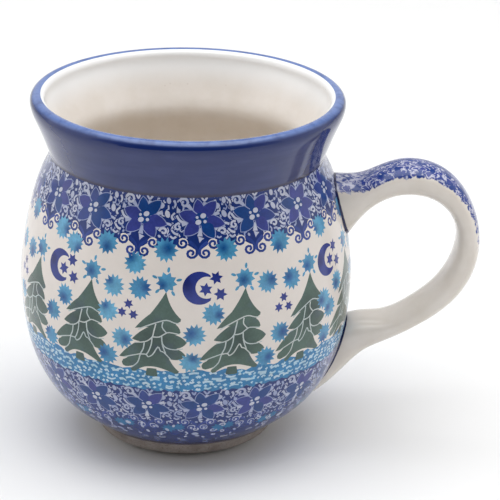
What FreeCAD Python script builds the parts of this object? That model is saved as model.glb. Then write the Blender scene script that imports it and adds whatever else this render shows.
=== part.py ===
"""Stoneware belly mug: a round-bellied cup with a flared collar, a turned foot and one luted strap handle.

Millimetres, +Z up. The origin is on the mug's axis, in the plane that the foot stands on, and the handle points
along +X. Outlines are (radius, height) pairs in the XZ plane, turned about the Z axis.
"""

import FreeCAD
import Part

import math
import os

from FreeCAD import Vector

# Driving dimensions of the cup
HEIGHT = 103.3
BELLY_RADIUS = 48.0
BELLY_HEIGHT = 50.0  # height of the widest ring
WALL = 4.6  # clay and glaze together, at the belly
NECK_RADIUS = 39.3
NECK_HEIGHT = 86.2  # narrowest ring, where the cobalt collar starts
NECK_FILLET = 2.4  # radius of the groove at the neck
NECK_TURN = 22.0  # degrees that the groove turns, each way from upright
COLLAR_WALL = 3.7
LIP_RADIUS = 2.1  # half the thickness of the rolled lip
LIP_CENTRE_RADIUS = 42.5
LIP_BAND = 115.0  # degrees over the lip, from its outside, that the cobalt reaches
FLOOR_HEIGHT = 8.2  # inside floor above the table
FLOOR_RADIUS = 12.0  # flat middle of the floor

# Foot
FOOT_INNER_RADIUS = 18.4
FOOT_SEAT_RADIUS = 22.2  # outside of the ring that touches the table
FOOT_BEVEL_RADIUS = 25.9
FOOT_BEVEL_HEIGHT = 2.1
FOOT_NOTCH_RADIUS = 27.3
FOOT_NOTCH_HEIGHT = 5.0
GLAZE_EDGE_RADIUS = 28.6
GLAZE_EDGE_HEIGHT = 6.2
GLAZE_EDGE_TURN = 54.0  # degrees from upright that the wall leans out at the edge of the glaze
RECESS_DEPTH = 2.4  # hollow under the base, inside the foot

# Coats
GLAZE = 0.3
SLIP = 0.5

# Handle: (x, z, thickness across the strap, width along Y) down its centreline, from inside the wall at the
# shoulder, over the arch and back into the wall at the lower belly
HANDLE_STATIONS = [
    (34.5, 66.4, 26.5, 18.2),
    (42.9, 71.0, 18.4, 16.3),
    (51.4, 75.1, 9.4, 14.8),
    (60.5, 79.0, 9.0, 14.4),
    (70.4, 78.2, 8.7, 14.4),
    (78.0, 71.9, 7.0, 14.4),
    (81.3, 62.6, 6.7, 14.4),
    (79.9, 52.4, 7.2, 14.4),
    (74.6, 43.9, 7.0, 14.4),
    (66.9, 37.6, 6.5, 14.4),
    (58.1, 33.0, 7.2, 14.4),
    (48.6, 29.6, 11.2, 14.6),
    (41.8, 22.1, 10.4, 14.9),
    (34.5, 15.5, 10.2, 15.2),
    (25.9, 10.6, 4.5, 15.4),
]
SECTION_POWER = 2.6  # superellipse exponent: 2 is an ellipse, higher is squarer
SECTION_POINTS = 28
LOFT_SECTIONS = 29

PARTS_FOLDER = "parts"


def at(radius, height):
    """A point of an outline in the XZ plane."""
    return Vector(radius, 0, height)


def heading(degrees):
    """A direction in the XZ plane, turned outward from upright by an angle."""
    angle = math.radians(degrees)
    return Vector(math.sin(angle), 0, math.cos(angle))


def line(a, b):
    """A straight edge between two points."""
    return Part.LineSegment(a, b)


def spline(points, start, end):
    """A smooth curve through the points, leaving along start and arriving along end, both of length 1."""
    curve = Part.BSplineCurve()
    curve.interpolate(Points=points, Scale=False, InitialTangent=start, FinalTangent=end)
    return curve


def arc(centre, radius, start, end):
    """An arc in the XZ plane between two angles in degrees, 0 along +X and 90 along +Z."""
    angles = [math.radians(a) for a in (start, (start + end) / 2, end)]
    points = [centre + Vector(math.cos(a), 0, math.sin(a)) * radius for a in angles]
    return Part.Arc(*points)


def inset(curve, distance, samples=40):
    """The curve moved sideways by distance, to the left of its direction of travel."""
    first, last = curve.FirstParameter, curve.LastParameter
    moved = []
    for i in range(samples + 1):
        parameter = first + (last - first) * i / samples
        along = curve.tangent(parameter)[0]
        moved.append(curve.value(parameter) + Vector(-along.z, 0, along.x) * distance)
    return spline(moved, curve.tangent(first)[0], curve.tangent(last)[0])


def turned(curves):
    """The solid that a closed outline in the XZ plane sweeps about the Z axis."""
    wire = Part.Wire(Part.sortEdges([c.toShape() for c in curves])[0])
    solid = Part.Face(wire).revolve(Vector(0, 0, 0), Vector(0, 0, 1), 360)
    if solid.Volume < 0:
        solid.reverse()
    return solid


# Outlines of the finished, glazed surface, each a chain that runs on from the one before


def neck_groove(start, end):
    """A stretch of the round groove at the neck, between two turns in degrees from its narrowest ring."""
    centre = at(NECK_RADIUS + NECK_FILLET, NECK_HEIGHT)
    return arc(centre, NECK_FILLET, 180 - start, 180 - end)


def belly_outline():
    """From the edge of the glaze above the foot, round the belly, up to the narrowest ring."""
    groove = neck_groove(-NECK_TURN, 0)
    points = [
        at(GLAZE_EDGE_RADIUS, GLAZE_EDGE_HEIGHT),
        at(31.5, 8.5),
        at(38.1, 14.4),
        at(42.3, 20.6),
        at(46.1, 30.9),
        at(47.6, 40.4),
        at(BELLY_RADIUS, BELLY_HEIGHT),
        at(46.7, 61.8),
        at(44.5, 72.0),
        at(42.1, 79.2),
        groove.StartPoint,
    ]
    return [spline(points, heading(GLAZE_EDGE_TURN), heading(-NECK_TURN)), groove]


def collar_outline():
    """From the narrowest ring up the flared collar, over the rolled lip, to the end of the cobalt."""
    groove = neck_groove(0, NECK_TURN)
    lip = lip_arc(0, LIP_BAND)
    points = [
        groove.EndPoint,
        at(41.4, 92.2),
        at(43.3, 96.8),
        lip.StartPoint,
    ]
    return [groove, spline(points, heading(NECK_TURN), heading(0)), lip]


def lip_arc(start, end):
    """A stretch of the lip's round top, with angles in degrees from the outside over the crest."""
    return arc(at(LIP_CENTRE_RADIUS, HEIGHT - LIP_RADIUS), LIP_RADIUS, start, end)


def liner_outline():
    """From the end of the cobalt over the lip, down the inside wall, to the middle of the floor."""
    lip = lip_arc(LIP_BAND, 180)
    floor = line(at(FLOOR_RADIUS, FLOOR_HEIGHT), at(0, FLOOR_HEIGHT))
    points = [
        lip.EndPoint,
        at(39.2, 97.0),
        at(37.2, 91.6),
        at(NECK_RADIUS - COLLAR_WALL, NECK_HEIGHT),
        at(37.6, 80.2),
        at(39.9, 72.6),
        at(42.1, 61.8),
        at(BELLY_RADIUS - WALL, BELLY_HEIGHT),
        at(42.9, 39.6),
        at(40.2, 28.0),
        at(34.4, 18.0),
        at(26.0, 11.6),
        at(18.8, 9.0),
        floor.StartPoint,
    ]
    return [lip, spline(points, heading(180), heading(-90)), floor]


# Turned pieces


def coat(curves):
    """A thin turned coat of glaze whose outside is a chain of curves."""
    inner = [inset(c, GLAZE) for c in curves]
    outline = curves + inner + [line(curves[0].StartPoint, inner[0].StartPoint)]
    last, inner_last = curves[-1].EndPoint, inner[-1].EndPoint
    on_axis = abs(last.x) < 1e-6
    outline.append(line(at(0, last.z), at(0, inner_last.z)) if on_axis else line(last, inner_last))
    return turned(outline)


def stoneware_body():
    """The fired clay of the cup under its glaze, down to the top of the foot."""
    skin = [inset(c, GLAZE) for c in belly_outline() + collar_outline() + liner_outline()]
    seat, floor = skin[0].StartPoint, skin[-1].EndPoint
    corners = [floor, at(0, RECESS_DEPTH), at(FOOT_INNER_RADIUS, RECESS_DEPTH), at(FOOT_INNER_RADIUS, seat.z), seat]
    return turned(skin + [line(a, b) for a, b in zip(corners, corners[1:])])


def foot_ring():
    """The bare turned foot: bevelled outside where it meets the table, flaring out to the edge of the glaze."""
    seat = inset(belly_outline()[0], GLAZE).StartPoint
    corners = [
        at(FOOT_INNER_RADIUS, 0),
        at(FOOT_SEAT_RADIUS, 0),
        at(FOOT_BEVEL_RADIUS, FOOT_BEVEL_HEIGHT),
        at(FOOT_NOTCH_RADIUS, FOOT_NOTCH_HEIGHT),
        seat,
        at(FOOT_INNER_RADIUS, seat.z),
    ]
    return turned([line(a, b) for a, b in zip(corners, corners[1:] + corners[:1])])


def envelope(distance):
    """Everything inside the cup's outside surface, moved in by distance, with the mouth closed at the lip."""
    skin = [inset(c, distance) for c in belly_outline() + collar_outline()[:2]]
    seat, lip = skin[0].StartPoint, skin[-1].EndPoint
    corners = [lip, at(0, lip.z), at(0, seat.z), seat]
    return turned(skin + [line(a, b) for a, b in zip(corners, corners[1:])])


# Handle


def strap_section(centre, outward, thickness, width):
    """A closed superellipse wire across the strap."""
    power = 2 / SECTION_POWER
    points = []
    for i in range(SECTION_POINTS):
        angle = 2 * math.pi * i / SECTION_POINTS
        c, s = math.cos(angle), math.sin(angle)
        across = math.copysign(abs(c) ** power, c) * thickness / 2
        side = math.copysign(abs(s) ** power, s) * width / 2
        points.append(centre + outward * across + Vector(0, side, 0))
    loop = Part.BSplineCurve()
    loop.interpolate(Points=points, PeriodicFlag=True)
    return Part.Wire(loop.toShape())


def handle_loft(extra):
    """The strap from end to end, running on inside the wall, extra thicker all round."""
    centreline = Part.BSplineCurve()
    centreline.interpolate(Points=[at(x, z) for x, z, _, _ in HANDLE_STATIONS])
    sizes = Part.BSplineCurve()
    sizes.interpolate(
        Points=[Vector(t, w, 0) for _, _, t, w in HANDLE_STATIONS],
        Parameters=centreline.getKnots(),
    )
    wires = []
    for i in range(LOFT_SECTIONS):
        parameter = centreline.LastParameter * i / (LOFT_SECTIONS - 1)
        along = centreline.tangent(parameter)[0]
        outward = Vector(-along.z, 0, along.x)
        size = sizes.value(parameter) + Vector(2 * extra, 2 * extra, 0)
        wires.append(strap_section(centreline.value(parameter), outward, size.x, size.y))
    return Part.makeLoft(wires, True)


def export(name, shape):
    """Write one piece as a STEP file."""
    solid = max(shape.Solids, key=lambda s: s.Volume)
    solid.exportStep(os.path.join(PARTS_FOLDER, name + ".step"))
    stray = shape.Volume - solid.Volume
    print(f"{name:18s} {solid.Volume / 1000:8.3f} cm3  valid {solid.isValid()}  left out {stray:.4f} mm3")


def main():
    os.makedirs(PARTS_FOLDER, exist_ok=True)
    clay_strap = handle_loft(-GLAZE)
    glazed_strap = handle_loft(0)

    # A layer of slip lies between the clay of the wall and the clay of the strap
    slip_surface = envelope(GLAZE - SLIP)
    slip = clay_strap.common(slip_surface).cut(envelope(GLAZE))
    joints = sorted(slip.Solids, key=lambda s: s.CenterOfMass.z)

    export("stoneware_body", stoneware_body())
    export("foot_ring", foot_ring())
    export("strap_handle", clay_strap.cut(slip_surface))
    export("upper_slip_joint", joints[-1])
    export("lower_slip_joint", joints[0])
    export("belly_glaze", coat(belly_outline()).cut(clay_strap))
    export("collar_glaze", coat(collar_outline()))
    export("liner_glaze", coat(liner_outline()))
    export("handle_glaze", glazed_strap.cut(clay_strap).cut(envelope(0)))


main()
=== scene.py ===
"""The looks of a round-bellied stoneware mug with a stamped winter pattern under clear glaze.

The belly's coat of glaze is rebuilt as one mesh whose triangles follow every stamped and painted shape, and
each other coat keeps its CAD shape and gets its own procedural glaze. Lengths in the drawing are millimetres.
"""

import math
import random

import bpy
import numpy as np
from mathutils import Matrix, Vector, geometry


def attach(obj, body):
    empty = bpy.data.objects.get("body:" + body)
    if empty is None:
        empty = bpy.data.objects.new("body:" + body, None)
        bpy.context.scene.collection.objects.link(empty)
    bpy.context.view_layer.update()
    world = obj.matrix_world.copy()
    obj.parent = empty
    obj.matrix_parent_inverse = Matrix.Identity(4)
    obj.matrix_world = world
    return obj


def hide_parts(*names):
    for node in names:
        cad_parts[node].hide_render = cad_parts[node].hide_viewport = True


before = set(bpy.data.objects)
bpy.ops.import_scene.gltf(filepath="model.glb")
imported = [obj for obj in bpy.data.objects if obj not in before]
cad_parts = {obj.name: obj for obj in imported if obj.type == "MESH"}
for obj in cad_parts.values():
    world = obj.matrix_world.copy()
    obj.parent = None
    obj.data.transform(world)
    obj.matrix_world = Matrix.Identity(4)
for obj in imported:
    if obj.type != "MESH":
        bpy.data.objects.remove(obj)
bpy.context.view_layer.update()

MM = 0.001
REFERENCE = 48.0  # radius in mm at which the wall is unrolled
SEAM = math.pi * REFERENCE  # half the unrolled wall's width
COAT = 0.3  # thickness of the glaze in mm
EDGE_LINE = 0.75  # width of the painted line round each end of the handle

# Layout of the decoration. Angles are degrees round the cup from its front, to the right seen from outside,
# and drops are millimetres down the wall from the neck.
TREES = 13  # firs round the cup
TREE_PITCH = 26.8  # angle between firs
FIRST_TREE = 75.7  # angle of the first fir; the others follow to its left
TREE_TOP = 25.6  # drop of a fir's apex
SNOW_TOP = 49.2  # drops between which the snow lies
SNOW_BOTTOM = 55.6
UPPER_FIRST = 7.3  # angle of the upper flower at the front
UPPER_DROP = 5.7  # drop of the upper flowers' middles
UPPER_LEFT_PITCH = 21.6  # angle between upper flowers left of the front, and to its right
UPPER_RIGHT_PITCH = 20.7
STRAY_STARS = (2, 6, 7, 13, 15)  # upper flowers with another star under their scrolls
LOWER_STAMPS = 18  # lower flowers, evenly spaced
LOWER_FIRST = 7.8
LOWER_DROP = 61.7
CRUMB_SPACING = 1.85  # millimetres between the small marks among the flowers
HINT_DROP = 71.0  # drop of the small blue stars under the lower flowers
SHADE_DROP = 79  # drop from which the lowest lace is darkened as painted shade, where the belly turns under
FOOT_SHADE_DROP = 84.9  # drop at which the dark band by the foot begins: painted shade where the belly turns under
PAST_END = 4  # how far bands run past the seam, so that they meet themselves there
BELOW_WALL = 91.0  # a drop under the wall's lower end


def srgb(red, green, blue):
    """A colour given as screen values from 0 to 255, made linear."""
    return tuple(v / 3294.6 if v <= 10.3 else ((v / 255 + 0.055) / 1.055) ** 2.4 for v in (red, green, blue))


# Each ink: its colour, a second colour that it drifts to, its darkest pooled colour, and how grainy it is.
INKS = {
    "cream": (srgb(214, 207, 202), srgb(224, 216, 209), srgb(226, 216, 208), 0.05),
    "lace": (srgb(138, 150, 188), srgb(190, 193, 208), srgb(176, 180, 205), 0.2),
    # the lowest lace, darkened as painted shade where the belly turns under
    "lace_painted_shade": (srgb(78, 96, 146), srgb(120, 132, 172), srgb(176, 180, 205), 0.2),
    "floral": (srgb(6, 40, 100), srgb(22, 46, 116), srgb(8, 34, 90), 0.5),
    "scroll": (srgb(22, 52, 122), srgb(44, 66, 140), srgb(8, 34, 90), 0.5),
    "petal": (srgb(10, 58, 122), srgb(48, 58, 132), srgb(8, 34, 90), 0.5),
    "hint": (srgb(10, 84, 138), srgb(30, 116, 160), srgb(8, 74, 140), 0.4),
    "star": (srgb(62, 136, 176), srgb(92, 158, 192), srgb(0, 70, 134), 0.6),
    "moon": (srgb(22, 40, 120), srgb(40, 56, 136), srgb(4, 20, 92), 0.4),
    "fir": (srgb(60, 86, 80), srgb(74, 98, 88), srgb(44, 66, 62), 0.5),
    "fir_line": (srgb(168, 182, 184), srgb(190, 196, 194), srgb(176, 180, 205), 0.2),
    "snow": (srgb(28, 106, 158), srgb(52, 128, 176), srgb(30, 104, 170), 0.6),
    "snow_light": (srgb(150, 190, 210), srgb(186, 206, 218), srgb(200, 210, 222), 0.3),
    # line: the painted lines round the handle's ends, and the dark band by the foot, which is painted shade
    "line": (srgb(20, 28, 76), srgb(24, 34, 86), srgb(16, 22, 70), 0.3),
}


# The wall ------------------------------------------------------------------------------------------


class Wall:
    """The belly's outer line, from its coat of glaze in the frame: drop to radius and height."""

    def __init__(self, node):
        mesh = node.data
        rows = {}
        for face in mesh.polygons:
            centre, normal = face.center, face.normal
            around = math.hypot(centre.x, centre.y)
            if centre.x < 0 and normal.x * centre.x + normal.y * centre.y > 0.3 * around:
                for i in face.vertices:
                    x, y, z = mesh.vertices[i].co
                    rows[round(z / MM, 3)] = math.hypot(x, y) / MM
        points = []
        for z in sorted(rows, reverse=True):
            if not points or math.hypot(points[-1][0] - rows[z], points[-1][1] - z) > 0.6:
                points.append((rows[z], z))
        lowest = min(rows)
        points[-1] = (rows[lowest], lowest)
        line = np.array(points)
        steps = np.hypot(*np.diff(line, axis=0).T)
        self.knots = np.concatenate([[0], np.cumsum(steps)])
        self.line = line
        slope = np.gradient(line, self.knots, axis=0)
        self.slope = slope / np.linalg.norm(slope, axis=1)[:, None]
        self.length = float(self.knots[-1])

    def at(self, drop):
        """(radius, height) and the outward normal's (radial, upward) parts for an array of drops."""
        drop = np.clip(np.asarray(drop, float), 0, self.length)
        i = np.clip(np.searchsorted(self.knots, drop) - 1, 0, len(self.knots) - 2)
        span = (self.knots[i + 1] - self.knots[i])[..., None]
        t = (drop - self.knots[i])[..., None] / span
        a, b, ta, tb = self.line[i], self.line[i + 1], self.slope[i] * span, self.slope[i + 1] * span
        spot = (
            (2 * t**3 - 3 * t**2 + 1) * a + (t**3 - 2 * t**2 + t) * ta
            + (3 * t**2 - 2 * t**3) * b + (t**3 - t**2) * tb
        )
        way = self.slope[i] * (1 - t) + self.slope[i + 1] * t
        way = way / np.linalg.norm(way, axis=-1)[..., None]
        return spot, np.stack([-way[..., 1], way[..., 0]], axis=-1)

    def drop_of(self, height):
        """The drop at which the wall is at a height in mm."""
        return float(np.interp(-height, -self.line[:, 1], self.knots))


wall = Wall(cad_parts["belly_glaze"])


def radius_at(drop):
    """The belly's radius in mm at a drop down its wall."""
    return float(wall.at(drop)[0][0])


# Drawing. A shape is a closed list of (x, y) in millimetres: x runs round the cup to the right, seen from
# outside, and y runs down its wall.


def arcs(path, step=0.5):
    """A closed outline through (x, y, sag) points. The edge that leaves a point bows to its left by sag."""
    outline = []
    for (x, y, sag), (next_x, next_y, _) in zip(path, path[1:] + path[:1]):
        dx, dy = next_x - x, next_y - y
        length = math.hypot(dx, dy)
        pieces = max(2, round(length / step)) if sag else 1
        for i in range(pieces):
            t = i / pieces
            bow = 4 * sag * t * (1 - t) / length
            outline.append((x + dx * t + dy * bow, y + dy * t - dx * bow))
    return outline


def disc(x, y, radius, squash=1.0, turn=0.0, points=10):
    """A round or oval spot, its second axis squashed, turned by an angle in degrees."""
    outline = []
    for i in range(points):
        angle = 2 * math.pi * i / points
        outline.append((math.cos(angle) * radius, math.sin(angle) * radius * squash))
    return moved(outline, x, y, turn)


def moved(outline, x, y, turn=0.0, scale=1.0):
    """The outline scaled and turned in degrees about its own origin, then carried to (x, y)."""
    c, s = math.cos(math.radians(turn)) * scale, math.sin(math.radians(turn)) * scale
    return [(x + c * a - s * b, y + s * a + c * b) for a, b in outline]


def grown(outline, margin):
    """The outline pushed out by a margin at each of its points."""
    n = len(outline)
    area = sum(outline[i - 1][0] * outline[i][1] - outline[i][0] * outline[i - 1][1] for i in range(n))
    side = margin if area > 0 else -margin
    out = []
    for i in range(n):
        (x0, y0), (x1, y1) = outline[i - 1], outline[(i + 1) % n]
        dx, dy = x1 - x0, y1 - y0
        length = math.hypot(dx, dy) or 1.0
        out.append((outline[i][0] + dy / length * side, outline[i][1] - dx / length * side))
    return out


def stroke(points, width, end_width):
    """A brush stroke along open points, its width changing evenly from start to end."""
    left, right = [], []
    n = len(points)
    for i, (x, y) in enumerate(points):
        x0, y0 = points[max(i - 1, 0)]
        x1, y1 = points[min(i + 1, n - 1)]
        length = math.hypot(x1 - x0, y1 - y0) or 1.0
        half = (width + (end_width - width) * i / (n - 1)) / 2
        nx, ny = (y1 - y0) / length * half, -(x1 - x0) / length * half
        left.append((x + nx, y + ny))
        right.append((x - nx, y - ny))
    return left + right[::-1]


def curve(points, pieces=4):
    """Smooth points through a few given ones."""
    ends = [points[0]] + list(points) + [points[-1]]
    out = []
    for p0, p1, p2, p3 in zip(ends, ends[1:], ends[2:], ends[3:]):
        for i in range(pieces):
            t = i / pieces
            out.append(tuple(
                0.5 * (2 * b + (c - a) * t + (2 * a - 5 * b + 4 * c - d) * t * t
                       + (3 * b - a - 3 * c + d) * t ** 3)
                for a, b, c, d in zip(p0, p1, p2, p3)
            ))
    return out + [points[-1]]


def curl(x, y, radius, start, turns, inner=0.25):
    """The points of a spiral that winds in about (x, y) from a start angle in degrees."""
    n = max(7, round(abs(turns) * 9.5))
    points = []
    for i in range(n + 1):
        t = i / n
        angle = math.radians(start + 360 * turns * t)
        r = radius * (1 - (1 - inner) * t)
        points.append((x + r * math.cos(angle), y + r * math.sin(angle)))
    return points


def star(x, y, outer, inner, tips, turn=0.0):
    """A star with straight-sided tips."""
    outline = []
    for i in range(2 * tips):
        angle = math.radians(turn - 90 + 180 * i / tips)
        r = inner if i % 2 else outer
        outline.append((x + r * math.cos(angle), y + r * math.sin(angle)))
    return outline


def petal(angle, length, half_width):
    """A pointed petal that leaves the flower's middle at an angle in degrees, widest past its half."""
    root = 1.3
    path = [
        (root, -0.35, 0.0),
        (root + 0.9, -half_width * 0.82, half_width * 0.18),
        (length * 0.62, -half_width * 0.92, half_width * 0.16),
        (length, 0.15, half_width * 0.16),
        (length * 0.62, half_width * 0.95, half_width * 0.18),
        (root + 0.8, half_width * 0.8, half_width * 0.2),
        (root, 0.35, 0.0),
    ]
    return moved(arcs(path, 0.8), 0, 0, angle)


def tree():
    """A fir with drooping boughs, its apex at 0, 0: its outline, its trunk and the lines on its boughs."""
    outline = arcs([
        (0, -0.4, -0.7), (4.1, 7.3, 0.3), (3.3, 8.3, 0.0), (2.7, 8.8, 0.3), (4.0, 11.2, 0.25),
        (2.5, 11.8, 0.35), (5.7, 14.1, 0.4), (2.9, 16.0, 0.3), (5.4, 18.1, 0.5), (2.3, 19.5, 0.2),
        (0.9, 18.9, -0.3), (3.7, 23.2, 0.35), (2.4, 23.8, -0.1), (-1.6, 22.2, -0.25), (-5.6, 22.2, -0.2),
        (-8.4, 24.0, 0.4), (-9.7, 23.5, 0.0), (-9.0, 22.3, 0.1), (-11.2, 22.9, 0.35), (-12.2, 21.7, 0.3),
        (-10.9, 20.3, 0.0), (-10.3, 19.7, 0.1), (-12.9, 20.0, 0.25), (-8.6, 15.3, 0.0), (-6.9, 14.5, 0.1),
        (-9.1, 14.0, 0.3), (-4.6, 10.0, 0.0), (-8.3, 10.7, 0.2), (-4.2, 6.2, -0.15),
    ], 0.8)
    trunk = arcs([(-5.1, 22.6, 0.1), (-2.5, 22.6, 0.05), (-2.2, 25.0, 0.15), (-5.5, 24.9, 0.05)], 0.8)
    lines = [
        [(-7.4, 11.0), (-5.4, 9.9), (-2.6, 8.6), (0.2, 7.7), (2.4, 8.4), (3.7, 8.6)],
        [(-0.7, 8.2), (-0.9, 9.8), (0.3, 11.4)],
        [(-2.6, 8.9), (-3.1, 11.0), (-3.6, 12.9), (-5.4, 14.4), (-8.4, 15.0)],
        [(-3.6, 12.8), (-1.7, 12.7), (-0.2, 11.7), (1.0, 11.2), (3.8, 11.7)],
        [(-1.0, 12.4), (-0.8, 14.6), (0.4, 15.9), (2.5, 16.3), (4.6, 16.0)],
        [(-3.6, 13.1), (-3.8, 15.1), (-4.6, 17.4), (-5.4, 18.5)],
        [(-5.7, 14.7), (-6.0, 16.6), (-6.8, 18.3), (-7.6, 21.0), (-9.3, 22.8)],
        [(-11.6, 20.1), (-9.4, 19.2), (-6.8, 18.3)],
        [(-6.8, 18.4), (-5.2, 18.3), (-4.7, 19.0), (-3.4, 18.1), (-2.0, 15.7), (-1.3, 16.9), (-0.4, 17.3),
         (1.4, 19.3)],
        [(-0.9, 14.5), (-0.5, 16.0), (0.1, 17.6)],
    ]
    return outline, trunk, [stroke(curve(line, 3), 0.36, 0.3) for line in lines]


# Each petal: its angle in degrees, its length and half its width.
PETALS = [
    (-167, 6.1, 1.65), (-101, 5.4, 1.45), (-48, 6.4, 1.6), (13, 6.6, 1.6), (56, 6.2, 1.6), (134, 6.2, 1.65),
]


def flower():
    """Pointed petals, the notches between them and four dots in the middle, about the flower's own middle."""
    petals = [petal(angle, length, width) for angle, length, width in PETALS]
    notches = []
    for k, (angle, _, _) in enumerate(PETALS):
        span = (PETALS[(k + 1) % len(PETALS)][0] - angle) % 360
        middle = math.radians(angle + span / 2)
        tip = 4.9 + 0.5 * math.sin(angle)  # the sine only makes the notches uneven
        c, s = math.cos(middle), math.sin(middle)
        notches.append(stroke([(2.4 * c, 2.4 * s), (tip * c, tip * s)], 0.3, 0.018 * span))
    dots = [
        disc(0.6, -0.85, 0.82, 0.85, -20), disc(-0.75, 0.85, 0.82, 0.85, -20),
        disc(-1.05, -0.45, 0.4), disc(1.05, 0.7, 0.46),
    ]
    return petals, notches, dots


def lace_light():
    """The larger light marks between flowers, about a flower's middle: curls, drops, dots and bars."""
    return [
        stroke(curl(-4.6, -4.3, 1.45, 200, 1.15), 0.78, 0.6),
        arcs([(-6.5, -3.4, -0.2), (-5.6, -2.5, -0.2), (-5.3, -1.6, -0.15), (-6.6, -1.5, 0.1)]),
        stroke(curve([(-6.6, -0.9), (-5.6, 0.5), (-3.9, 1.1)]), 0.6, 0.7),
        stroke(curl(-6.1, 2.2, 1.05, -60, -1.1), 0.62, 0.5),
        stroke(curve([(-7.8, 3.0), (-7.0, 3.9), (-6.0, 4.2)]), 0.5, 0.7),
        disc(4.5, -3.4, 0.95, 0.9), disc(6.4, -1.2, 1.05, 0.65, 70), disc(6.6, -4.8, 0.9, 0.7, 80),
        stroke(curve([(8.0, -5.0), (8.5, -4.0), (8.2, -3.0)]), 0.7, 0.5),
        stroke(curve([(8.4, -1.6), (7.6, -0.6), (8.1, 0.3)]), 0.5, 0.65),
        stroke(curve([(4.9, 2.0), (6.2, 1.3), (7.6, 1.7)]), 0.5, 0.7),
        stroke(curl(5.6, 3.5, 1.1, 180, 1.0), 0.7, 0.55),
        stroke(curve([(7.7, 3.0), (8.3, 1.9), (9.4, 2.1)]), 0.5, 0.65),
        stroke(curve([(7.4, 4.6), (8.2, 5.2), (9.0, 4.7)]), 0.5, 0.6),
        stroke(curve([(0.3, -5.9), (1.1, -4.9), (1.9, -5.8)]), 0.5, 0.6),
        stroke(curve([(-2.9, -5.6), (-2.3, -4.7), (-1.9, -5.7)]), 0.5, 0.5),
        arcs([(-0.9, 4.6, 0.0), (0.7, 5.2, -0.1), (-0.5, 6.4, 0.0)]),
    ]


SCROLLS = [(-4.8, 6.5), (3.0, 6.7), (-2.6, 9.2), (0.9, 9.2)]  # their middles


def lace_dark():
    """The scrolls that hang below each flower in the dark ink, about the flower's middle."""
    starts = [(215, -1.3), (-35, 1.3), (-20, 1.3), (200, -1.3)]
    scrolls = [stroke(curl(x, y, 1.5, start, turns, 0.2), 0.72, 0.6)
               for (x, y), (start, turns) in zip(SCROLLS, starts)]
    return scrolls + [
        stroke(curve([(-3.2, 6.0), (-1.6, 7.4), (-0.9, 9.6)]), 0.95, 0.6),
        stroke(curve([(1.6, 6.2), (-0.1, 7.6), (-0.8, 9.6)]), 0.95, 0.6),
    ]


def crumbs(rng, spots, top, bottom):
    """Small light marks crowded between the flowers at (angle, drop) spots: dots, bars and hooks."""
    marks = []
    middles = [(math.radians(angle) * REFERENCE, drop, REFERENCE / radius_at(drop)) for angle, drop in spots]
    rows = int((bottom - top) / CRUMB_SPACING)
    columns = int(2 * SEAM / CRUMB_SPACING)
    for row in range(rows):
        for column in range(columns):
            x = -SEAM + (column + 0.5 * (row % 2) + rng.uniform(0.1, 0.6)) * CRUMB_SPACING
            y = top + (row + rng.uniform(0.25, 0.75)) * CRUMB_SPACING
            near = min(math.hypot(((x - u + SEAM) % (2 * SEAM) - SEAM) / k, y - v) for u, v, k in middles)
            kind, size, turn = rng.random(), rng.uniform(0.8, 1.25), rng.uniform(0, 360)
            if near < 5.4 or abs(x) > SEAM - 1.3:
                continue
            if kind < 0.3:
                mark = disc(0, 0, 0.5, 0.75, 0, 7)
            elif kind < 0.65:
                mark = stroke(curve([(-0.8, 0.2), (0.0, -0.2), (0.8, 0.25)], 2), 0.4, 0.6)
            else:
                mark = stroke([(-0.5, 0.5), (-0.5, -0.4), (0.2, -0.65), (0.65, 0.0)], 0.36, 0.52)
            marks.append(moved(mark, x, y, turn, size))
    return marks


def place(shapes, outline, ink, angle, drop, turn=0.0, scale=1.0, **look):
    """Lay an outline on the wall. look may hold tone, and blot: the place and reach of a pool of ink."""
    stretch = REFERENCE / radius_at(drop)
    middle = math.radians((angle + 180) % 360 - 180) * REFERENCE
    points = [(middle + x * stretch, y) for x, y in moved(outline, 0, drop, turn, scale)]
    if "blot" in look:
        x, y, reach = look["blot"]
        look["blot"] = (middle + x * stretch, drop + y, reach)
    shapes.append((points, ink, look))


# The lower edge of the field under one flower, about a point below the flower's middle.
SCALLOP = [
    (-7.4, 0.6), (-6.4, 0.3), (-4.8, -0.6), (-3.3, 0.5), (-2.2, 1.3), (-0.9, 3.0),
    (0.4, 1.3), (1.5, 0.4), (3.0, -0.4), (4.7, 0.8), (6.0, 1.0),
]


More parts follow.
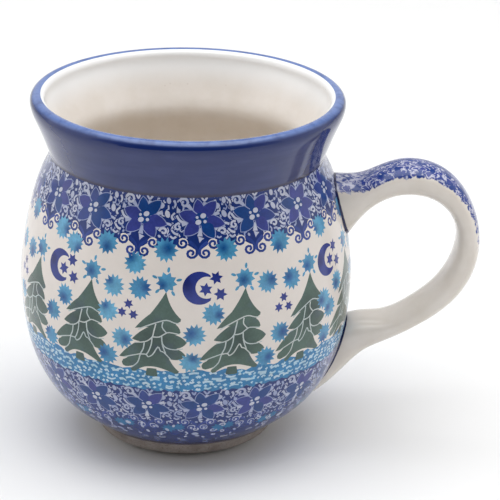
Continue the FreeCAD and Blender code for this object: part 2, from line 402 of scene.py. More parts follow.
def floral_band(shapes, spots, top, bottom, rng):
    """One row of stamped flowers, at (angle, drop) spots, with its field, light lace and hanging scrolls.

    top is the drop of the field's upper edge, and bottom says how far under a flower its lower edge hangs.
    """
    is_upper = bottom < 20  # the band by the neck; the other one lies under the snow
    edge = []
    for angle, drop in spots:
        middle, stretch = math.radians(angle) * REFERENCE, REFERENCE / radius_at(drop)
        for x, y in SCALLOP:
            edge.append((middle + x * stretch, drop + bottom + y + rng.uniform(-0.2, 0.2)))
    reach = SEAM + PAST_END
    turns = [(x + 2 * SEAM * k, y) for k in (-1, 0, 1) for x, y in edge]
    edge = sorted(p for p in turns if abs(p[0]) < reach)
    steps = 280
    rise = [0.35 * math.sin(i * 1.7) + rng.uniform(-0.3, 0.3) for i in range(steps)]
    crest = [(2 * SEAM * (i / steps - 0.5), top + rise[i % steps]) for i in range(-4, steps + 5)]
    shapes.append((edge + crest[::-1], "floral", {}))
    lowest = min(spots[0][1] + bottom + 1.0, spots[0][1] + 8.6)
    for mark in crumbs(rng, spots, max(top, 0.0) + 0.3, lowest):
        shapes.append((mark, "lace", {"tone": rng.uniform(-1, 1)}))
    for angle, drop in spots:
        for mark in lace_light():
            tone = rng.uniform(0, 1) if is_upper else rng.uniform(-1, 0.4)
            place(shapes, grown(mark[::2], 0.3), "floral", angle, drop)
            place(shapes, mark, "lace", angle, drop, tone=tone)
    for angle, drop in spots:
        for x, y in SCROLLS:
            place(shapes, disc(x, y, 1.4, 1, 0, 14), "cream" if is_upper else "lace", angle, drop)
        for mark in lace_dark():
            place(shapes, mark, "scroll", angle, drop, tone=rng.uniform(-1, 1))
    for angle, drop in spots:
        petals, notches, dots = flower()
        for notch in notches:
            place(shapes, notch, "lace", angle, drop, tone=rng.uniform(-0.5, 1))
        for outline in petals:
            place(shapes, grown(outline, 0.2), "lace", angle, drop, tone=-0.8)
        for outline in petals:
            place(shapes, outline, "petal", angle, drop, tone=rng.choice((-1, -1, 0, 1)))
        place(shapes, disc(0, 0, 1.75, 1, 0, 12), "petal", angle, drop, tone=-1)
        for dot in dots:
            place(shapes, dot, "lace", angle, drop, tone=1.0)


def big_star(shapes, angle, drop, size, rng):
    """A ragged stamp of thirteen points with a darker pool of ink somewhere in it."""
    lean = rng.uniform(0, 360)
    off = size * rng.uniform(0.25, 0.7)
    blot = (off * math.cos(lean), off * math.sin(lean), size * rng.uniform(0.5, 0.85))
    outline = []
    for x, y in star(0, 0, 1.0, 0.69, 13):
        reach = size * rng.uniform(0.95, 1.08)
        outline.append((x * reach, y * reach))
    place(shapes, outline, "star", angle, drop, turn=rng.uniform(0, 26), tone=rng.uniform(-1, 1), blot=blot)


def tree_star(shapes, angle, drop, rng):
    """The nine-pointed star on a fir's tip, with five loose rays round it."""
    blot = (rng.uniform(-1.6, -0.4), rng.uniform(0.0, 1.0), 2.2)
    place(shapes, star(0, 0, 2.95, 2.05, 9, 20), "star", angle, drop, blot=blot)
    for turn in (-158, -82, -13, 58, 133):
        place(shapes, disc(3.5, 0, 0.8, 0.5, 0, 8), "star", angle, drop, turn=turn, tone=-0.6)


def moon_group(shapes, angle, drop, rng):
    """A crescent open to the right, with one small star in its hollow and two beyond its mouth."""
    outer = disc(0, 0, 4.6, 1, 0, 44)
    middle = 1.95  # how far right of the outer circle's middle the hollow's lies
    inner = disc(middle, -0.1, 3.05, 1, 0, 32)
    outer_tip, inner_tip = 48, 62  # degrees from the mouth's middle at which each circle ends
    rim = [p for p in outer if abs(math.degrees(math.atan2(p[1], p[0]))) > outer_tip]
    rim.sort(key=lambda p: math.atan2(p[1], p[0]) % (2 * math.pi))
    hollow = [p for p in inner if abs(math.degrees(math.atan2(p[1], p[0] - middle))) > inner_tip]
    hollow.sort(key=lambda p: -(math.atan2(p[1], p[0] - middle) % (2 * math.pi)))
    place(shapes, rim + hollow, "moon", angle, drop, blot=(-3.6, -0.8, 2.6))
    for x, y, turn in ((1.7, 0.4, 8), (4.6, -2.7, 20), (5.7, 1.9, 35)):
        place(shapes, star(x, y, 1.95, 1.05, 6, turn), "moon", angle, drop, tone=rng.uniform(-0.5, 1))


def star_trio(shapes, angle, drop, rng):
    """Three small stars close together."""
    for x, y in ((0.3, -1.6), (-1.5, 1.0), (1.8, 1.3)):
        outline = star(x, y, 1.5, 0.8, 6, rng.uniform(0, 60))
        place(shapes, outline, "moon", angle, drop, tone=rng.uniform(-0.5, 1))


def forest(shapes, rng):
    """Firs round the cup, by turns a moon or three small stars between them, and larger stars scattered."""
    for i in range(TREES):
        angle = FIRST_TREE - TREE_PITCH * i
        lift = rng.uniform(-0.4, 0.4)
        outline, trunk, lines = tree()
        shade = (rng.uniform(-3, 0), rng.uniform(9, 15), rng.uniform(6, 9))
        place(shapes, outline, "fir", angle, TREE_TOP + lift, tone=rng.uniform(-0.6, 0.6), blot=shade)
        place(shapes, trunk, "fir", angle, TREE_TOP + lift, tone=-1.0)
        for line in lines:
            place(shapes, line, "fir_line", angle, TREE_TOP + lift, tone=rng.uniform(-1, 1))
        tree_star(shapes, angle + rng.uniform(-0.3, 0.3), TREE_TOP - 2.9 + lift, rng)
        if i % 2:
            moon_group(shapes, angle + 9.8 + 0.4 * i, 24.5, rng)
            spots = [(15.9, 32.3), (9.8, 38.1), (8.1, 46.2)]  # of larger stars: angle from the fir, and drop
            if i % 8 == 1:
                spots.append((6.2, 34.8))
        else:
            star_trio(shapes, angle + 13.8, 31.6, rng)
            spots = [(8.3, 25.2), (18.2, 24.9), (12.4, 39.7), (7.0, 46.2)]
            if i % 4 == 0:
                spots.append((6.7, 33.2))
        for turn, drop in spots:
            star_angle = angle + turn + rng.uniform(-0.4, 0.4)
            big_star(shapes, star_angle, drop + rng.uniform(-0.5, 0.5), 3.3, rng)


def snow(shapes, rng):
    """The sponged snow under the firs: a field with an uneven top, full of short light squiggles."""
    steps = 240
    rise = [0.45 * math.sin(i * 0.9) + rng.uniform(-0.35, 0.35) for i in range(steps)]
    top = [(2 * SEAM * (i / steps - 0.5), SNOW_TOP + rise[i % steps]) for i in range(-3, steps + 4)]
    ends = [(top[-1][0], SNOW_BOTTOM + 0.6), (top[0][0], SNOW_BOTTOM + 0.6)]
    shapes.append((top + ends, "snow", {}))
    rows = 5
    for row in range(rows):
        x = -SEAM
        while x < SEAM - 4:
            length = rng.choice((0.4, 0.7, 1.2, 2.0, 2.8))
            level = SNOW_TOP + 1.0 + (SNOW_BOTTOM - SNOW_TOP - 1.8) * row / (rows - 1)
            y = level + rng.uniform(-0.4, 0.4)
            bend = rng.choice((-1, 1)) * rng.uniform(0.15, 0.6)
            points = curve([(x, y), (x + length / 2, y + bend), (x + length, y + rng.uniform(-0.3, 0.3))], 2)
            mark = stroke(points, rng.uniform(0.5, 0.85), rng.uniform(0.35, 0.75))
            shapes.append((mark, "snow_light", {"tone": rng.uniform(-1, 1)}))
            x += length + rng.uniform(0.8, 1.35)


# Rows of marks under the lower flowers: each row's drop and how many marks it has.
LOW_ROWS = [
    (70.4, 48), (72.4, 48), (74.4, 46), (76.4, 44), (78.3, 41), (80.1, 38), (81.8, 32), (83.4, 25),
]


def low_lace(shapes, rng):
    """Light scrolls, drops and hooks under the lower flowers, thinning out towards the foot and darkened
    there as painted shade.
    """
    for drop, count in LOW_ROWS:
        for i in range(count):
            angle = 360 * i / count + rng.uniform(-2.5, 2.5)
            size, kind = rng.uniform(0.8, 1.15), rng.random()
            if kind < 0.4:
                mark = stroke(curl(0, 0, 1.0, rng.uniform(0, 360), rng.choice((-1.0, 1.0))), 0.52, 0.4)
            elif kind < 0.65:
                mark = disc(0, 0, 0.8, 0.55, rng.uniform(60, 120), 8)
            elif kind < 0.85:
                mark = stroke(curve([(-0.2, -1.1), (0.4, -0.2), (-0.1, 1.0)], 3), 0.6, 0.35)
            else:
                mark = arcs([(-0.9, 0, 0.25), (0, -0.8, 0.2), (0.9, 0.1, 0.25), (0, 0.9, 0.2)])
            # below this drop the lace takes a darker ink as painted shade
            ink = "lace" if drop < SHADE_DROP else "lace_painted_shade"
            mark_drop = drop + rng.uniform(-0.7, 0.7)
            place(shapes, mark, ink, angle, mark_drop, scale=size, tone=rng.uniform(-1, 1))


def decoration(rng):
    """Every stamped and painted shape on the belly, the first painted first."""
    shapes = []
    snow(shapes, rng)
    forest(shapes, rng)
    upper = [(angle + rng.uniform(-0.3, 0.3), UPPER_DROP + rng.uniform(-0.2, 0.2))
             for angle in upper_angles()]
    floral_band(shapes, upper, -2.0, 6.6, rng)
    for k, (angle, _) in enumerate(upper):
        big_star(shapes, angle + 8.9, 14.2, 3.4, rng)
        if k in STRAY_STARS:
            big_star(shapes, angle - 5.0 + 3.5 * (k % 2), 16.8 + 1.7 * (k % 2), 3.3, rng)
    pitch = 360 / LOWER_STAMPS
    lower = [(LOWER_FIRST + pitch * i + rng.uniform(-0.5, 0.5), LOWER_DROP + rng.uniform(-0.3, 0.3))
             for i in range(LOWER_STAMPS)]
    floral_band(shapes, lower, SNOW_BOTTOM, 30.0, rng)
    for angle, _ in lower:
        for x, y, size in ((-1.2, 0.4, 2.3), (1.6, -0.4, 2.0)):
            place(shapes, star(x, y, size, size * 0.6, 9, rng.uniform(0, 40)), "hint", angle + 9.0, HINT_DROP)
    low_lace(shapes, rng)
    side = SEAM + PAST_END
    # the dark band at the belly's lowest drops, in the line ink: painted shade by the foot
    foot_shade = [(-side, FOOT_SHADE_DROP), (side, FOOT_SHADE_DROP), (side, BELOW_WALL), (-side, BELOW_WALL)]
    shapes.append((foot_shade, "line", {}))
    return shapes


def upper_angles():
    """The upper flowers, stamped from the front in two runs that meet at the back, the right one closer."""
    left = [UPPER_FIRST - UPPER_LEFT_PITCH * k for k in range(9)]
    return sorted(left + [UPPER_FIRST + UPPER_RIGHT_PITCH * k for k in range(1, 9)])


# The belly's coat ----------------------------------------------------------------------------------


def handle_ends(node):
    """The outlines, on the unrolled wall, of the two places where the handle's coat meets the belly's."""
    touching, middle_height = 0.04, 50  # how close counts as on the wall, and a height between the two ends
    found = {"upper": [], "lower": []}
    for vertex in node.data.vertices:
        x, y, z = vertex.co / MM
        drop = wall.drop_of(z)
        if abs(math.hypot(x, y) - radius_at(drop)) < touching:
            end = "upper" if z > middle_height else "lower"
            found[end].append((math.atan2(x, -y) * REFERENCE, drop))
    outlines = []
    for points in found.values():
        hull = [points[i] for i in geometry.convex_hull_2d(points)]
        x, y = (sum(p[k] for p in hull) / len(hull) for k in (0, 1))
        hull.sort(key=lambda p: math.atan2(p[1] - y, p[0] - x))
        outlines.append(hull)
    return outlines


def ink_colour(ink, look, x, y):
    """An ink's linear colour at a spot. Its alpha says how grainy the ink is."""
    plain, other, pooled, grain = INKS[ink]
    share = 0.5 + 0.5 * look.get("tone", 0.0)
    colour = [a + (b - a) * share for a, b in zip(plain, other)]
    if "blot" in look:
        bx, by, reach = look["blot"]
        pool = max(0.0, 1 - math.hypot(x - bx, y - by) / reach) ** 0.7
        colour = [a + (b - a) * min(1.0, pool * 1.1) for a, b in zip(colour, pooled)]
    return (*colour, grain)


def loose_points(first, pitch, count):
    """Points spread over the wall that keep its triangles small on its curves, closest at the neck."""
    drops = [d for d in (0.0, 0.35, 0.7, 1.05, 1.4, 1.8, 2.4) if d >= first]
    drops += [float(d) for d in np.arange(2.4 + pitch, wall.length - 1.0, pitch)]
    points = []
    for k, drop in enumerate(drops + ([wall.length] if first == 0 else [])):
        for i in range(count + 1 - k % 2):
            points.append((-SEAM + 2 * SEAM * (i + 0.5 * (k % 2)) / count, drop))
    return points


def finely(outline):
    """The outline with its long sides cut into short ones, so that they follow the belly's curve."""
    longest = 1.9
    fine = []
    for (x, y), (next_x, next_y) in zip(outline, outline[1:] + outline[:1]):
        pieces = max(1, math.ceil(math.hypot(next_x - x, next_y - y) / longest))
        fine += [(x + (next_x - x) * i / pieces, y + (next_y - y) * i / pieces) for i in range(pieces)]
    return fine


def inside(outline, spots):
    """Whether each spot lies inside an outline, by the turns that the outline makes round it."""
    a = np.array(outline)
    b = np.roll(a, -1, axis=0)
    x, y = spots[:, :1], spots[:, 1:]
    up = (a[:, 1] <= y) & (b[:, 1] > y)
    down = (a[:, 1] > y) & (b[:, 1] <= y)
    rise = np.where(a[:, 1] == b[:, 1], 1.0, b[:, 1] - a[:, 1])
    beyond = x < a[:, 0] + (y - a[:, 1]) * (b[:, 0] - a[:, 0]) / rise
    return ((up & beyond).sum(axis=1) - (down & beyond).sum(axis=1)) != 0


def sheet(outlines, loose, holes):
    """The unrolled wall cut into triangles along every outline, without its holes: points and triangles."""
    points, edges = [], []
    frame_line = [(-SEAM, 0.0), (SEAM, 0.0), (SEAM, wall.length), (-SEAM, wall.length)]
    for outline in [frame_line, *holes, *outlines]:
        outline = finely(outline)
        start, count = len(points), len(outline)
        edges += [(start + i, start + (i + 1) % count) for i in range(count)]
        points += outline
    out = geometry.delaunay_2d_cdt([Vector(p) for p in points + loose], edges, [], 0, 1e-4, False)
    flat, triangles = np.array([tuple(v) for v in out[0]]), np.array(out[2])
    middle = flat[triangles].mean(axis=1)
    keep = (abs(middle[:, 0]) < SEAM) & (middle[:, 1] > 0) & (middle[:, 1] < wall.length)
    for outline in holes:
        keep &= ~inside(finely(outline), middle)
    triangles = triangles[keep]
    used = np.unique(triangles)
    index = np.full(len(flat), -1)
    index[used] = np.arange(len(used))
    return flat[used], index[triangles]


def topmost(outlines, spots):
    """For every spot, the last of the outlines that holds it, or -1."""
    order = np.argsort(spots[:, 0])
    across = spots[order, 0]
    found = np.full(len(spots), -1)
    for k, outline in enumerate(outlines):
        x, y = zip(*outline)
        near = order[np.searchsorted(across, min(x)):np.searchsorted(across, max(x))]
        near = near[(spots[near, 1] > min(y)) & (spots[near, 1] < max(y))]
        for part in np.array_split(near, len(near) * len(outline) // 4000000 + 1):
            found[part[inside(outline, spots[part])]] = k
    return found


def joined(flat, triangles):
    """The sheet's triangles with each point of its right end replaced by the nearest one of its left end."""
    left = np.flatnonzero(flat[:, 0] < -SEAM + 1e-3)
    right = np.flatnonzero(flat[:, 0] > SEAM - 1e-3)
    stand = np.arange(len(flat))
    for i in right:
        stand[i] = left[int(np.argmin(abs(flat[left, 1] - flat[i, 1])))]
    return stand[triangles]


def border(triangles):
    """The directed edges that only one triangle has."""
    seen = {}
    for a, b, c in triangles.tolist():
        for edge in ((a, b), (b, c), (c, a)):
            key = (min(edge), max(edge))
            seen[key] = None if key in seen else edge
    return [edge for edge in seen.values() if edge]


def on_wall(flat, depth=0.0):
    """Unrolled points carried onto the belly, depth mm under its surface: places in metres, and normals."""
    spot, normal = wall.at(flat[:, 1])
    spot = spot - normal * depth
    s, c = np.sin(flat[:, 0] / REFERENCE), -np.cos(flat[:, 0] / REFERENCE)
    places = np.stack([spot[:, 0] * s, spot[:, 0] * c, spot[:, 1]], axis=1) * MM
    return places, np.stack([normal[:, 0] * s, normal[:, 0] * c, normal[:, 1]], axis=1)


def stamped_coat():
    """The belly's coat as one closed mesh: a skin cut along the ink, its inner side and its rims."""
    rng = random.Random(7)
    ends = handle_ends(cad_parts["handle_glaze"])
    holes = [grown(outline, -0.25) for outline in ends]
    shapes = []
    edge_lines = [(grown(outline, EDGE_LINE), "line", {}) for outline in ends]
    for outline, ink, look in decoration(rng) + edge_lines:
        shapes.append((outline, ink, look))
        left, right = min(x for x, _ in outline), max(x for x, _ in outline)
        if right - left < SEAM and right > SEAM:
            shapes.append(([(x - 2 * SEAM, y) for x, y in outline], ink, look))
        if right - left < SEAM and left < -SEAM:
            shapes.append(([(x + 2 * SEAM, y) for x, y in outline], ink, look))
    loose = loose_points(0, 2.3, 132)
    for x, y, reach in [look["blot"] for _, _, look in shapes if "blot" in look]:
        loose.append((x, y))
        for i in range(6):
            loose += moved([(reach * 0.45, 0)], x, y, 60 * i) + moved([(reach * 0.9, 0)], x, y, 60 * i + 30)
    flat, triangles = sheet([outline for outline, _, _ in shapes], loose, holes)
    tops = topmost([outline for outline, _, _ in shapes], flat[triangles].mean(axis=1))
    rim = np.unique([i for edge in border(triangles) for i in edge])
    under, under_triangles = sheet([], [tuple(p) for p in flat[rim]] + loose_points(0.7, 3.6, 90), holes)

    skin, back = joined(flat, triangles), joined(under, under_triangles)
    twin = {a: int(np.argmin(np.abs(under - flat[a]).sum(axis=1))) + len(flat) for a in rim.tolist()}
    places, normals = on_wall(flat)
    back_places, back_normals = on_wall(under, COAT)
    places, normals = np.concatenate([places, back_places]), np.concatenate([normals, -back_normals])
    rims = []
    for a, b in border(skin):
        rims += [(a, b, twin[a]), (b, twin[b], twin[a])]
    all_faces = np.concatenate([skin[:, ::-1], back + len(flat), rims])
    used, all_faces = np.unique(all_faces, return_inverse=True)
    places, normals, all_faces = places[used], normals[used], all_faces.reshape(-1, 3)
    mesh = bpy.data.meshes.new("stamped_coat")
    mesh.from_pydata(places.tolist(), [], all_faces.tolist())
    inks = mesh.attributes.new("Ink", "FLOAT_COLOR", "CORNER")
    colours = np.empty((len(all_faces), 3, 4))
    colours[:] = ink_colour("cream", {}, 0, 0)
    for k, top in enumerate(tops.tolist()):
        _, ink, look = shapes[top] if top >= 0 else ([], "cream", {})
        if "blot" in look:
            colours[k] = [ink_colour(ink, look, *flat[i]) for i in triangles[k, ::-1]]
        else:
            colours[k] = ink_colour(ink, look, 0, 0)
    inks.data.foreach_set("color", colours.ravel())
    mesh.shade_smooth()
    turned = np.zeros((len(all_faces), 3, 3))
    smooth = len(skin) + len(back)
    turned[:smooth] = normals[all_faces[:smooth]]
    mesh.normals_split_custom_set(turned.reshape(-1, 3).tolist())
    coat = bpy.data.objects.new("stamped_coat", mesh)
    bpy.context.collection.objects.link(coat)
    return coat


# Glazes --------------------------------------------------------------------------------------------


# Pairs of heights in metres between which a glaze changes, from where it has not begun to where it is full.
NECK_BAND = (0.0879, 0.0870)  # the collar's dark ragged foot
LIP_RISE = (0.0995, 0.1012)  # the lip's roll: deep cobalt, darkened further as painted dark reflection
LIP_WORN = (0.1020, 0.1032)  # the light edge where it runs thin
LINER_PAINTED_SHADE = (0.075, 0.02)  # painted shade: the cup's inside darker and browner towards its floor
LINER_PAINTED_LIGHT = (0.092, 0.100)  # painted light: the inside whitened just under the lip, against the shade that its curl casts
LINER_EDGE = (0.1028, 0.1033)  # the lip's bluish inner edge

HANDLE_EAST, HANDLE_HEIGHT = 0.060, 0.056  # the middle of the handle's bend in metres
HANDLE_BEND = 0.0235  # its radius


class Glaze:
    """A material under construction: a principled shader, its nodes and the spot it colours, in metres."""

    def __init__(self, name, **sockets):
        self.material = bpy.data.materials.new(name)
        self.material.use_nodes = True
        self.tree = self.material.node_tree
        self.shader = self.tree.nodes["Principled BSDF"]
        for key, value in sockets.items():
            self.shader.inputs[key.replace("_", " ")].default_value = value
        place = self.tree.nodes.new("ShaderNodeTexCoord")
        self.spot = place.outputs["Object"]
        self.normal = place.outputs["Normal"]

    def set(self, key, value):
        """Join a value or an output to an input of the shader."""
        self.join(value, self.shader.inputs[key])

    def join(self, value, socket):
        if isinstance(value, bpy.types.NodeSocket):
            self.tree.links.new(value, socket)
        elif value is not None:
            socket.default_value = value

    def add(self, kind, inputs=(), **settings):
        node = self.tree.nodes.new("ShaderNode" + kind)
        for key, value in settings.items():
            setattr(node, key, value)
        for key, value in dict(inputs).items():
            self.join(value, node.inputs[key])
        return node

    def math(self, operation, a, b=None, c=None):
        inputs = {k: v for k, v in enumerate((a, b, c)) if v is not None}
        return self.add("Math", inputs, operation=operation).outputs[0]

    def vector(self, operation, a, b=None, scale=None):
        inputs = {k: v for k, v in ((0, a), (1, b), ("Scale", scale)) if v is not None}
        node = self.add("VectorMath", inputs, operation=operation)
        return node.outputs["Value" if operation in ("DOT_PRODUCT", "LENGTH") else "Vector"]

    def noise(self, size, detail=3.0, rough=0.55, spot=None, stretch=None, warp=0.0):
        """Noise from 0 to 1 with features of a size in mm."""
        spot = self.spot if spot is None else spot
        if stretch:
            spot = self.vector("MULTIPLY", spot, stretch)
        node = self.add("TexNoise", {"Vector": spot, "Scale": 1 / (size * MM), "Detail": detail,
                                     "Roughness": rough, "Distortion": warp})
        return node.outputs["Fac"]

    def ramp(self, value, low, high, start=0.0, end=1.0, smooth=True):
        """value taken from low..high to start..end."""
        inputs = {"Value": value, "From Min": low, "From Max": high, "To Min": start, "To Max": end}
        node = self.add("MapRange", inputs, interpolation_type="SMOOTHSTEP" if smooth else "LINEAR")
        return node.outputs["Result"]

    def mix(self, share, a, b):
        """Two colours mixed by a share. Inputs 6 and 7 and output 2 are the node's colour ones."""
        node = self.add("Mix", {"Factor": share, 6: self.colour(a), 7: self.colour(b)}, data_type="RGBA")
        return node.outputs[2]

    @staticmethod
    def colour(value):
        return (*value, 1.0) if isinstance(value, tuple) and len(value) == 3 else value

    def bump(self, height, depth):
        """Relief of a depth in mm from a height from 0 to 1."""
        node = self.add("Bump", {"Height": height, "Distance": depth * MM, "Strength": 1.0})
        self.join(node.outputs["Normal"], self.shader.inputs["Normal"])

    def gloss(self, low, high):
        """Roughness that drifts between low and high."""
        self.set("Roughness", self.ramp(self.noise(6.0), 0.3, 0.7, low, high))


def belly_look():
    """Clear glaze over cream slip, with stamped ink that pools and thins as a sponge leaves it."""
    g = Glaze("stamped_belly_glaze", IOR=1.5)
    ink = g.add("Attribute", attribute_name="Ink", attribute_type="GEOMETRY")
    fine = g.ramp(g.noise(0.55, 4.0, 0.7), 0.3, 0.7, -1.0, 1.0, smooth=False)
    broad = g.ramp(g.noise(3.0, 3.0, 0.6), 0.3, 0.7, -1.0, 1.0, smooth=False)
    grain = g.math("MULTIPLY_ADD", fine, 0.5, g.math("MULTIPLY", broad, 0.6))
    strength = g.math("MULTIPLY_ADD", g.math("MULTIPLY", grain, ink.outputs["Alpha"]), 0.5, 1.0)
    toned = g.vector("SCALE", ink.outputs["Color"], scale=strength)
    violet = g.math("MULTIPLY", g.ramp(g.noise(5.0, 2.0), 0.52, 0.68), ink.outputs["Alpha"])
    g.set("Base Color", g.mix(g.math("MULTIPLY", violet, 0.15), toned, srgb(66, 62, 148)))
    g.gloss(0.10, 0.17)
    g.bump(g.noise(2.2, 2.0), 0.012)
    return g.material


def cobalt_look():
    """The collar's cobalt: brushed round on a wheel, thin and light at the lip's top, deep in the neck and on
    the lip's roll, where it is darkened further as painted dark reflection.
    """
    g = Glaze("cobalt_glaze", IOR=1.5)
    height = g.add("SeparateXYZ", {"Vector": g.spot}).outputs["Z"]
    bands = g.noise(2.4, 3.0, 0.6, stretch=(0.12, 0.12, 1.0))
    blots = g.noise(7.0, 3.0, 0.5)
    base = g.mix(g.ramp(bands, 0.3, 0.7), srgb(34, 46, 98), srgb(44, 56, 108))
    base = g.mix(g.math("MULTIPLY", g.ramp(blots, 0.4, 0.7), 0.5), base, srgb(34, 46, 94))
    low = g.ramp(g.math("ADD", height, g.math("MULTIPLY", g.noise(1.6), 0.0008)), *NECK_BAND)
    base = g.mix(g.math("MULTIPLY", low, 0.8), base, srgb(40, 36, 64))
    # the lip's roll: deep cobalt, and darker still as painted dark reflection
    lip = g.ramp(height, *LIP_RISE)
    base = g.mix(lip, base, srgb(6, 32, 92))
    worn = g.math("MULTIPLY", g.ramp(height, *LIP_WORN), g.ramp(g.noise(3.0), 0.25, 0.6, 0.6, 1.0))
    g.set("Base Color", g.mix(worn, base, srgb(96, 120, 176)))
    g.gloss(0.05, 0.10)
    g.bump(g.noise(3.0, 2.0, stretch=(0.3, 0.3, 1.0)), 0.015)
    return g.material


def liner_look():
    """Cream glaze inside, darker and browner towards its floor as painted shade, whiter under the lip as
    painted light, with faint specks of iron.
    """
    g = Glaze("cream_liner_glaze", IOR=1.5)
    height = g.add("SeparateXYZ", {"Vector": g.spot}).outputs["Z"]
    cloud = g.ramp(g.noise(9.0, 4.0, 0.6), 0.3, 0.7)
    base = g.mix(cloud, srgb(240, 234, 228), srgb(234, 227, 219))
    # painted shade: darker and browner towards the cup's floor
    deep = g.ramp(height, *LINER_PAINTED_SHADE)
    base = g.mix(g.math("MULTIPLY", deep, 0.7), base, srgb(206, 188, 160))
    specks = g.add("TexVoronoi", {"Vector": g.spot, "Scale": 260.0}, feature="F1").outputs["Distance"]
    spots = g.math("MULTIPLY", g.ramp(specks, 0.09, 0.05), g.ramp(g.noise(6.0), 0.5, 0.62))
    base = g.mix(g.math("MULTIPLY", spots, 0.15), base, srgb(150, 120, 90))
    # painted light: whitens the inside under the lip, where its curl casts shade
    base = g.mix(g.ramp(height, *LINER_PAINTED_LIGHT), base, srgb(246, 246, 246))
    edge = g.math("MULTIPLY", g.ramp(height, *LINER_EDGE), 0.5)
    g.set("Base Color", g.mix(edge, base, srgb(190, 204, 226)))
    g.gloss(0.10, 0.18)
    g.bump(g.noise(5.0, 2.0, stretch=(0.5, 0.5, 1.0)), 0.03)
    return g.material


def joint_line(g, parts):
    """1 where the handle's coat is within a painted line's width of the belly."""
    middle, half = 45, 40  # the heights that the fitted curve of radii covers, as a middle and a half
    fit = np.polyfit((wall.line[:, 1] - middle) / half, wall.line[:, 0], 5)
    level = g.math("MULTIPLY_ADD", parts.outputs["Z"], 1 / (half * MM), -middle / half)
    radius = float(fit[0])
    for factor in fit[1:]:
        radius = g.math("MULTIPLY_ADD", radius, level, float(factor))
    flat = g.vector("MULTIPLY", g.spot, (1 / MM, 1 / MM, 0.0))
    away = g.math("SUBTRACT", g.vector("LENGTH", flat), radius)
    wobble = g.math("MULTIPLY_ADD", g.noise(2.0), 0.3, -0.15)
    return g.ramp(g.math("ADD", away, wobble), 0.62, 0.42)


def handle_look():
    """Cream glaze, with a strip of floral print along the handle's back that fades half-way down."""
    g = Glaze("stamped_handle_glaze", IOR=1.5)
    parts = g.add("SeparateXYZ", {"Vector": g.spot})
    east = g.math("SUBTRACT", parts.outputs["X"], HANDLE_EAST)
    rise = g.math("SUBTRACT", parts.outputs["Z"], HANDLE_HEIGHT)
    turn = g.math("ARCTAN2", rise, east)
    ray = g.vector("NORMALIZE", g.add("CombineXYZ", {"X": east, "Z": rise}).outputs[0])
    facing = g.vector("DOT_PRODUCT", ray, g.normal)
    along = g.math("MULTIPLY", turn, HANDLE_BEND)
    sheet = g.add("CombineXYZ", {"X": along, "Y": parts.outputs["Y"]}).outputs[0]
    ragged = g.math("MULTIPLY", g.math("SUBTRACT", g.noise(1.6, 3.0, 0.65, spot=sheet), 0.5), 0.9)
    narrow = g.math("MULTIPLY", g.ramp(turn, math.pi / 2, 0.0), 0.5)
    edge = g.ramp(g.math("SUBTRACT", g.math("ADD", facing, ragged), narrow), 0.40, 0.52)
    end = g.math("ADD", turn, g.math("MULTIPLY", g.math("SUBTRACT", g.noise(2.5, 3.0, spot=sheet), 0.5), 1.2))
    strip = g.math("MULTIPLY", edge, g.ramp(end, -0.1, 0.3))
    swirl = g.noise(2.0, 1.5, 0.5, spot=sheet, warp=1.2)
    lines = g.ramp(g.math("ABSOLUTE", g.math("SUBTRACT", swirl, 0.5)), 0.06, 0.02)
    dots = g.add("TexVoronoi", {"Vector": sheet, "Scale": 700.0}, feature="F1").outputs["Distance"]
    spots = g.math("MULTIPLY", g.ramp(dots, 0.3, 0.18), g.ramp(g.noise(1.8, 2.0, spot=sheet), 0.47, 0.58))
    lace = g.math("MAXIMUM", g.math("MULTIPLY", lines, g.ramp(g.noise(2.6, spot=sheet), 0.42, 0.52)), spots)
    root = g.ramp(parts.outputs["X"], 0.056, 0.046)
    thin = g.math("MULTIPLY", root, g.ramp(g.noise(1.8, 3.0, spot=sheet), 0.45, 0.6))
    lace = g.math("MAXIMUM", lace, thin)
    print_ = g.mix(g.ramp(g.noise(2.6, 3.0, spot=sheet), 0.35, 0.65), srgb(10, 52, 126), srgb(50, 64, 140))
    print_ = g.mix(g.math("MULTIPLY", lace, 0.8), print_, srgb(206, 206, 220))
    ground = g.mix(g.ramp(g.noise(8.0, 3.0), 0.3, 0.7), srgb(229, 222, 214), srgb(222, 214, 204))
    base = g.mix(strip, ground, print_)
    g.set("Base Color", g.mix(joint_line(g, parts), base, srgb(20, 28, 76)))
    g.gloss(0.08, 0.14)
    g.bump(g.noise(3.5, 2.0), 0.02)
    return g.material


def bare_look(name, light, dark):
    """Unglazed fired clay: matt, finely grained, with darker grog."""
    g = Glaze(name, IOR=1.45)
    grit = g.ramp(g.noise(0.6, 4.0, 0.7), 0.3, 0.7)
    base = g.mix(grit, dark, light)
    base = g.mix(g.ramp(g.noise(5.0, 3.0), 0.4, 0.7, 0.0, 0.4), base, srgb(96, 82, 76))
    specks = g.add("TexVoronoi", {"Vector": g.spot, "Scale": 900.0}, feature="F1").outputs["Distance"]
    g.set("Base Color", g.mix(g.ramp(specks, 0.22, 0.12, 0.0, 0.6), base, srgb(70, 58, 52)))
    g.set("Roughness", g.ramp(grit, 0.0, 1.0, 0.75, 0.95))
    g.bump(g.noise(0.7, 4.0, 0.7), 0.06)
    return g.material


def finish_with(node, material):
    """Give a CAD node its material."""
    for slot in node.material_slots:
        slot.material = material


coat = stamped_coat()
coat.data.materials.append(belly_look())
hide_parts("belly_glaze")
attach(coat, "root")
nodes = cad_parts
finish_with(nodes["collar_glaze"], cobalt_look())
finish_with(nodes["liner_glaze"], liner_look())
finish_with(nodes["handle_glaze"], handle_look())
finish_with(nodes["foot_ring"], bare_look("bare_foot_clay", srgb(164, 154, 146), srgb(140, 130, 124)))
body_clay = bare_look("body_clay", srgb(164, 148, 134), srgb(138, 122, 110))
for name in ("stoneware_body", "strap_handle", "upper_slip_joint", "lower_slip_joint"):
    finish_with(nodes[name], body_clay)


# Studio --------------------------------------------------------------------------------------------


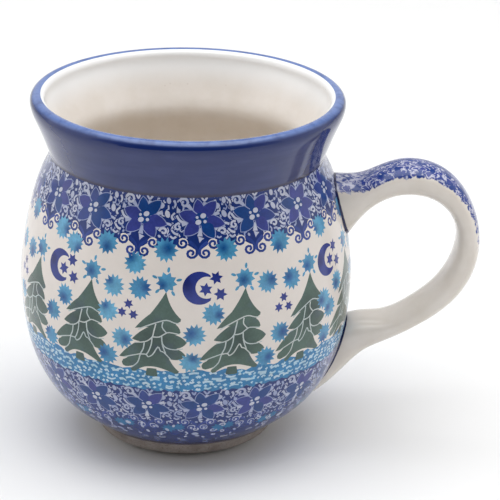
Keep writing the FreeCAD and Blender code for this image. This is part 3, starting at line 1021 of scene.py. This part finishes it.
def floor():
    """A wide pale floor that turns up into a backdrop."""
    reach, radius, back = 1.6, 0.5, 1.2
    line = [(-1.2, 0.0), (back - radius, 0.0)]
    for a in np.linspace(0.1, math.pi / 2, 12):
        line.append((back - radius + radius * math.sin(a), radius - radius * math.cos(a)))
    line.append((back, 1.6))
    verts = [(x, y, z) for y, z in line for x in (-reach, reach)]
    faces = [(2 * i, 2 * i + 1, 2 * i + 3, 2 * i + 2) for i in range(len(line) - 1)]
    mesh = bpy.data.meshes.new("floor")
    mesh.from_pydata(verts, [], faces)
    mesh.shade_smooth()
    sheet = bpy.data.objects.new("floor", mesh)
    bpy.context.collection.objects.link(sheet)
    g = Glaze("floor_paper", Roughness=0.9, Specular_IOR_Level=0.2)
    g.set("Base Color", g.mix(g.noise(60.0), (0.84, 0.84, 0.84), (0.86, 0.86, 0.86)))
    mesh.materials.append(g.material)


def softbox(name, place, size, power):
    """A rectangular lamp turned to the mug's middle."""
    aim = Vector((0.0, 0.0, 0.05))
    light = bpy.data.lights.new(name, "AREA")
    light.shape = "RECTANGLE"
    light.size, light.size_y = size
    light.energy = power
    lamp = bpy.data.objects.new(name, light)
    lamp.location = place
    lamp.rotation_mode = "QUATERNION"
    lamp.rotation_quaternion = (aim - Vector(place)).to_track_quat("-Z", "Y")
    bpy.context.collection.objects.link(lamp)


def tent():
    """White surroundings, a little darker on the camera's side."""
    world = bpy.data.worlds.new("tent")
    bpy.context.scene.world = world
    world.use_nodes = True
    tree = world.node_tree
    place = tree.nodes.new("ShaderNodeTexCoord")
    parts = tree.nodes.new("ShaderNodeSeparateXYZ")
    fade = tree.nodes.new("ShaderNodeMapRange")
    fade.interpolation_type = "SMOOTHSTEP"
    tree.links.new(place.outputs["Generated"], parts.inputs[0])
    tree.links.new(parts.outputs["Y"], fade.inputs["Value"])
    for key, value in {"From Min": -0.95, "From Max": -0.2, "To Min": 0.12, "To Max": 0.8}.items():
        fade.inputs[key].default_value = value
    back = tree.nodes["Background"]
    tree.links.new(fade.outputs["Result"], back.inputs["Strength"])
    back.inputs["Color"].default_value = (1.0, 1.0, 1.0, 1.0)


def camera():
    """A camera close to the mug, a little above its lip, and level but for a slight lean."""
    pitch, roll = math.radians(22.3), math.radians(-1.33)
    aside, above, distance = 0.01963, 0.05082, 0.6387  # metres along the camera's own axes
    right = Vector((math.cos(roll), -math.sin(roll) * math.sin(pitch), -math.sin(roll) * math.cos(pitch)))
    up = Vector((math.sin(roll), math.cos(roll) * math.sin(pitch), math.cos(roll) * math.cos(pitch)))
    ahead = Vector((0.0, math.cos(pitch), -math.sin(pitch)))
    eye = bpy.data.objects.new("camera", bpy.data.cameras.new("camera"))
    bpy.context.collection.objects.link(eye)
    eye.location = aside * right + above * up - distance * ahead
    eye.rotation_mode = "QUATERNION"
    eye.rotation_quaternion = Matrix((right, up, -ahead)).transposed().to_quaternion()
    eye.data.sensor_width = 36.0
    eye.data.lens = 152.9
    eye.data.clip_start = 0.01
    eye.data.clip_end = 10.0
    bpy.context.scene.camera = eye


floor()
tent()
softbox("left_box", (-0.9, 0.0, 0.5), (0.9, 1.1), 1.4)
softbox("right_box", (0.9, 0.05, 0.5), (0.9, 1.1), 1.0)
softbox("top_box", (0.0, -0.05, 1.1), (1.3, 1.2), 10.5)
camera()
bpy.context.scene.view_settings.view_transform = "Standard"
